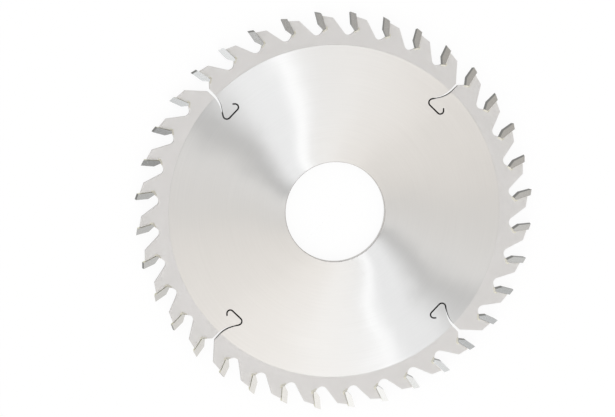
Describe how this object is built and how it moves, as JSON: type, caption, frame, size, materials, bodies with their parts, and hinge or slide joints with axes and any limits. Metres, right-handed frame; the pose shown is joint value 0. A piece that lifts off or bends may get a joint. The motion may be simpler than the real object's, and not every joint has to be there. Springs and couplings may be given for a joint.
{
  "type": "scoring saw blade",
  "caption": "Circular scoring saw blade: a flat ground steel disc with a plain round bore, hooked expansion slots and brazed conical carbide teeth.",
  "frame": {"origin": "centre of the bore, halfway through the plate", "axes": "+Z along the bore out of the front face; the teeth point counter-clockwise seen from +Z; +X and +Y lie in the plate, to the right and up in the picture"},
  "size_m": [0.1796, 0.1796, 0.0052],
  "materials": {
    "plate_steel": "circular ground, rim blasted matte",
    "carbide": "ground sintered carbide, satin",
    "silver_braze": "cleaned silver braze, satin"
  },
  "bodies": {
    "root": {"plate": "plate_steel", "tooth_tip_01": "carbide", "tooth_tip_02": "carbide", "tooth_tip_03": "carbide", "tooth_tip_04": "carbide", "tooth_tip_05": "carbide", "tooth_tip_06": "carbide", "tooth_tip_07": "carbide", "tooth_tip_08": "carbide", "tooth_tip_09": "carbide", "tooth_tip_10": "carbide", "tooth_tip_11": "carbide", "tooth_tip_12": "carbide", "tooth_tip_13": "carbide", "tooth_tip_14": "carbide", "tooth_tip_15": "carbide", "tooth_tip_16": "carbide", "tooth_tip_17": "carbide", "tooth_tip_18": "carbide", "tooth_tip_19": "carbide", "tooth_tip_20": "carbide", "tooth_tip_21": "carbide", "tooth_tip_22": "carbide", "tooth_tip_23": "carbide", "tooth_tip_24": "carbide", "tooth_tip_25": "carbide", "tooth_tip_26": "carbide", "tooth_tip_27": "carbide", "tooth_tip_28": "carbide", "tooth_tip_29": "carbide", "tooth_tip_30": "carbide", "tooth_tip_31": "carbide", "tooth_tip_32": "carbide", "tooth_tip_33": "carbide", "tooth_tip_34": "carbide", "tooth_tip_35": "carbide", "tooth_tip_36": "carbide", "braze_seams": "silver_braze"}
  },
  "joints": []
}
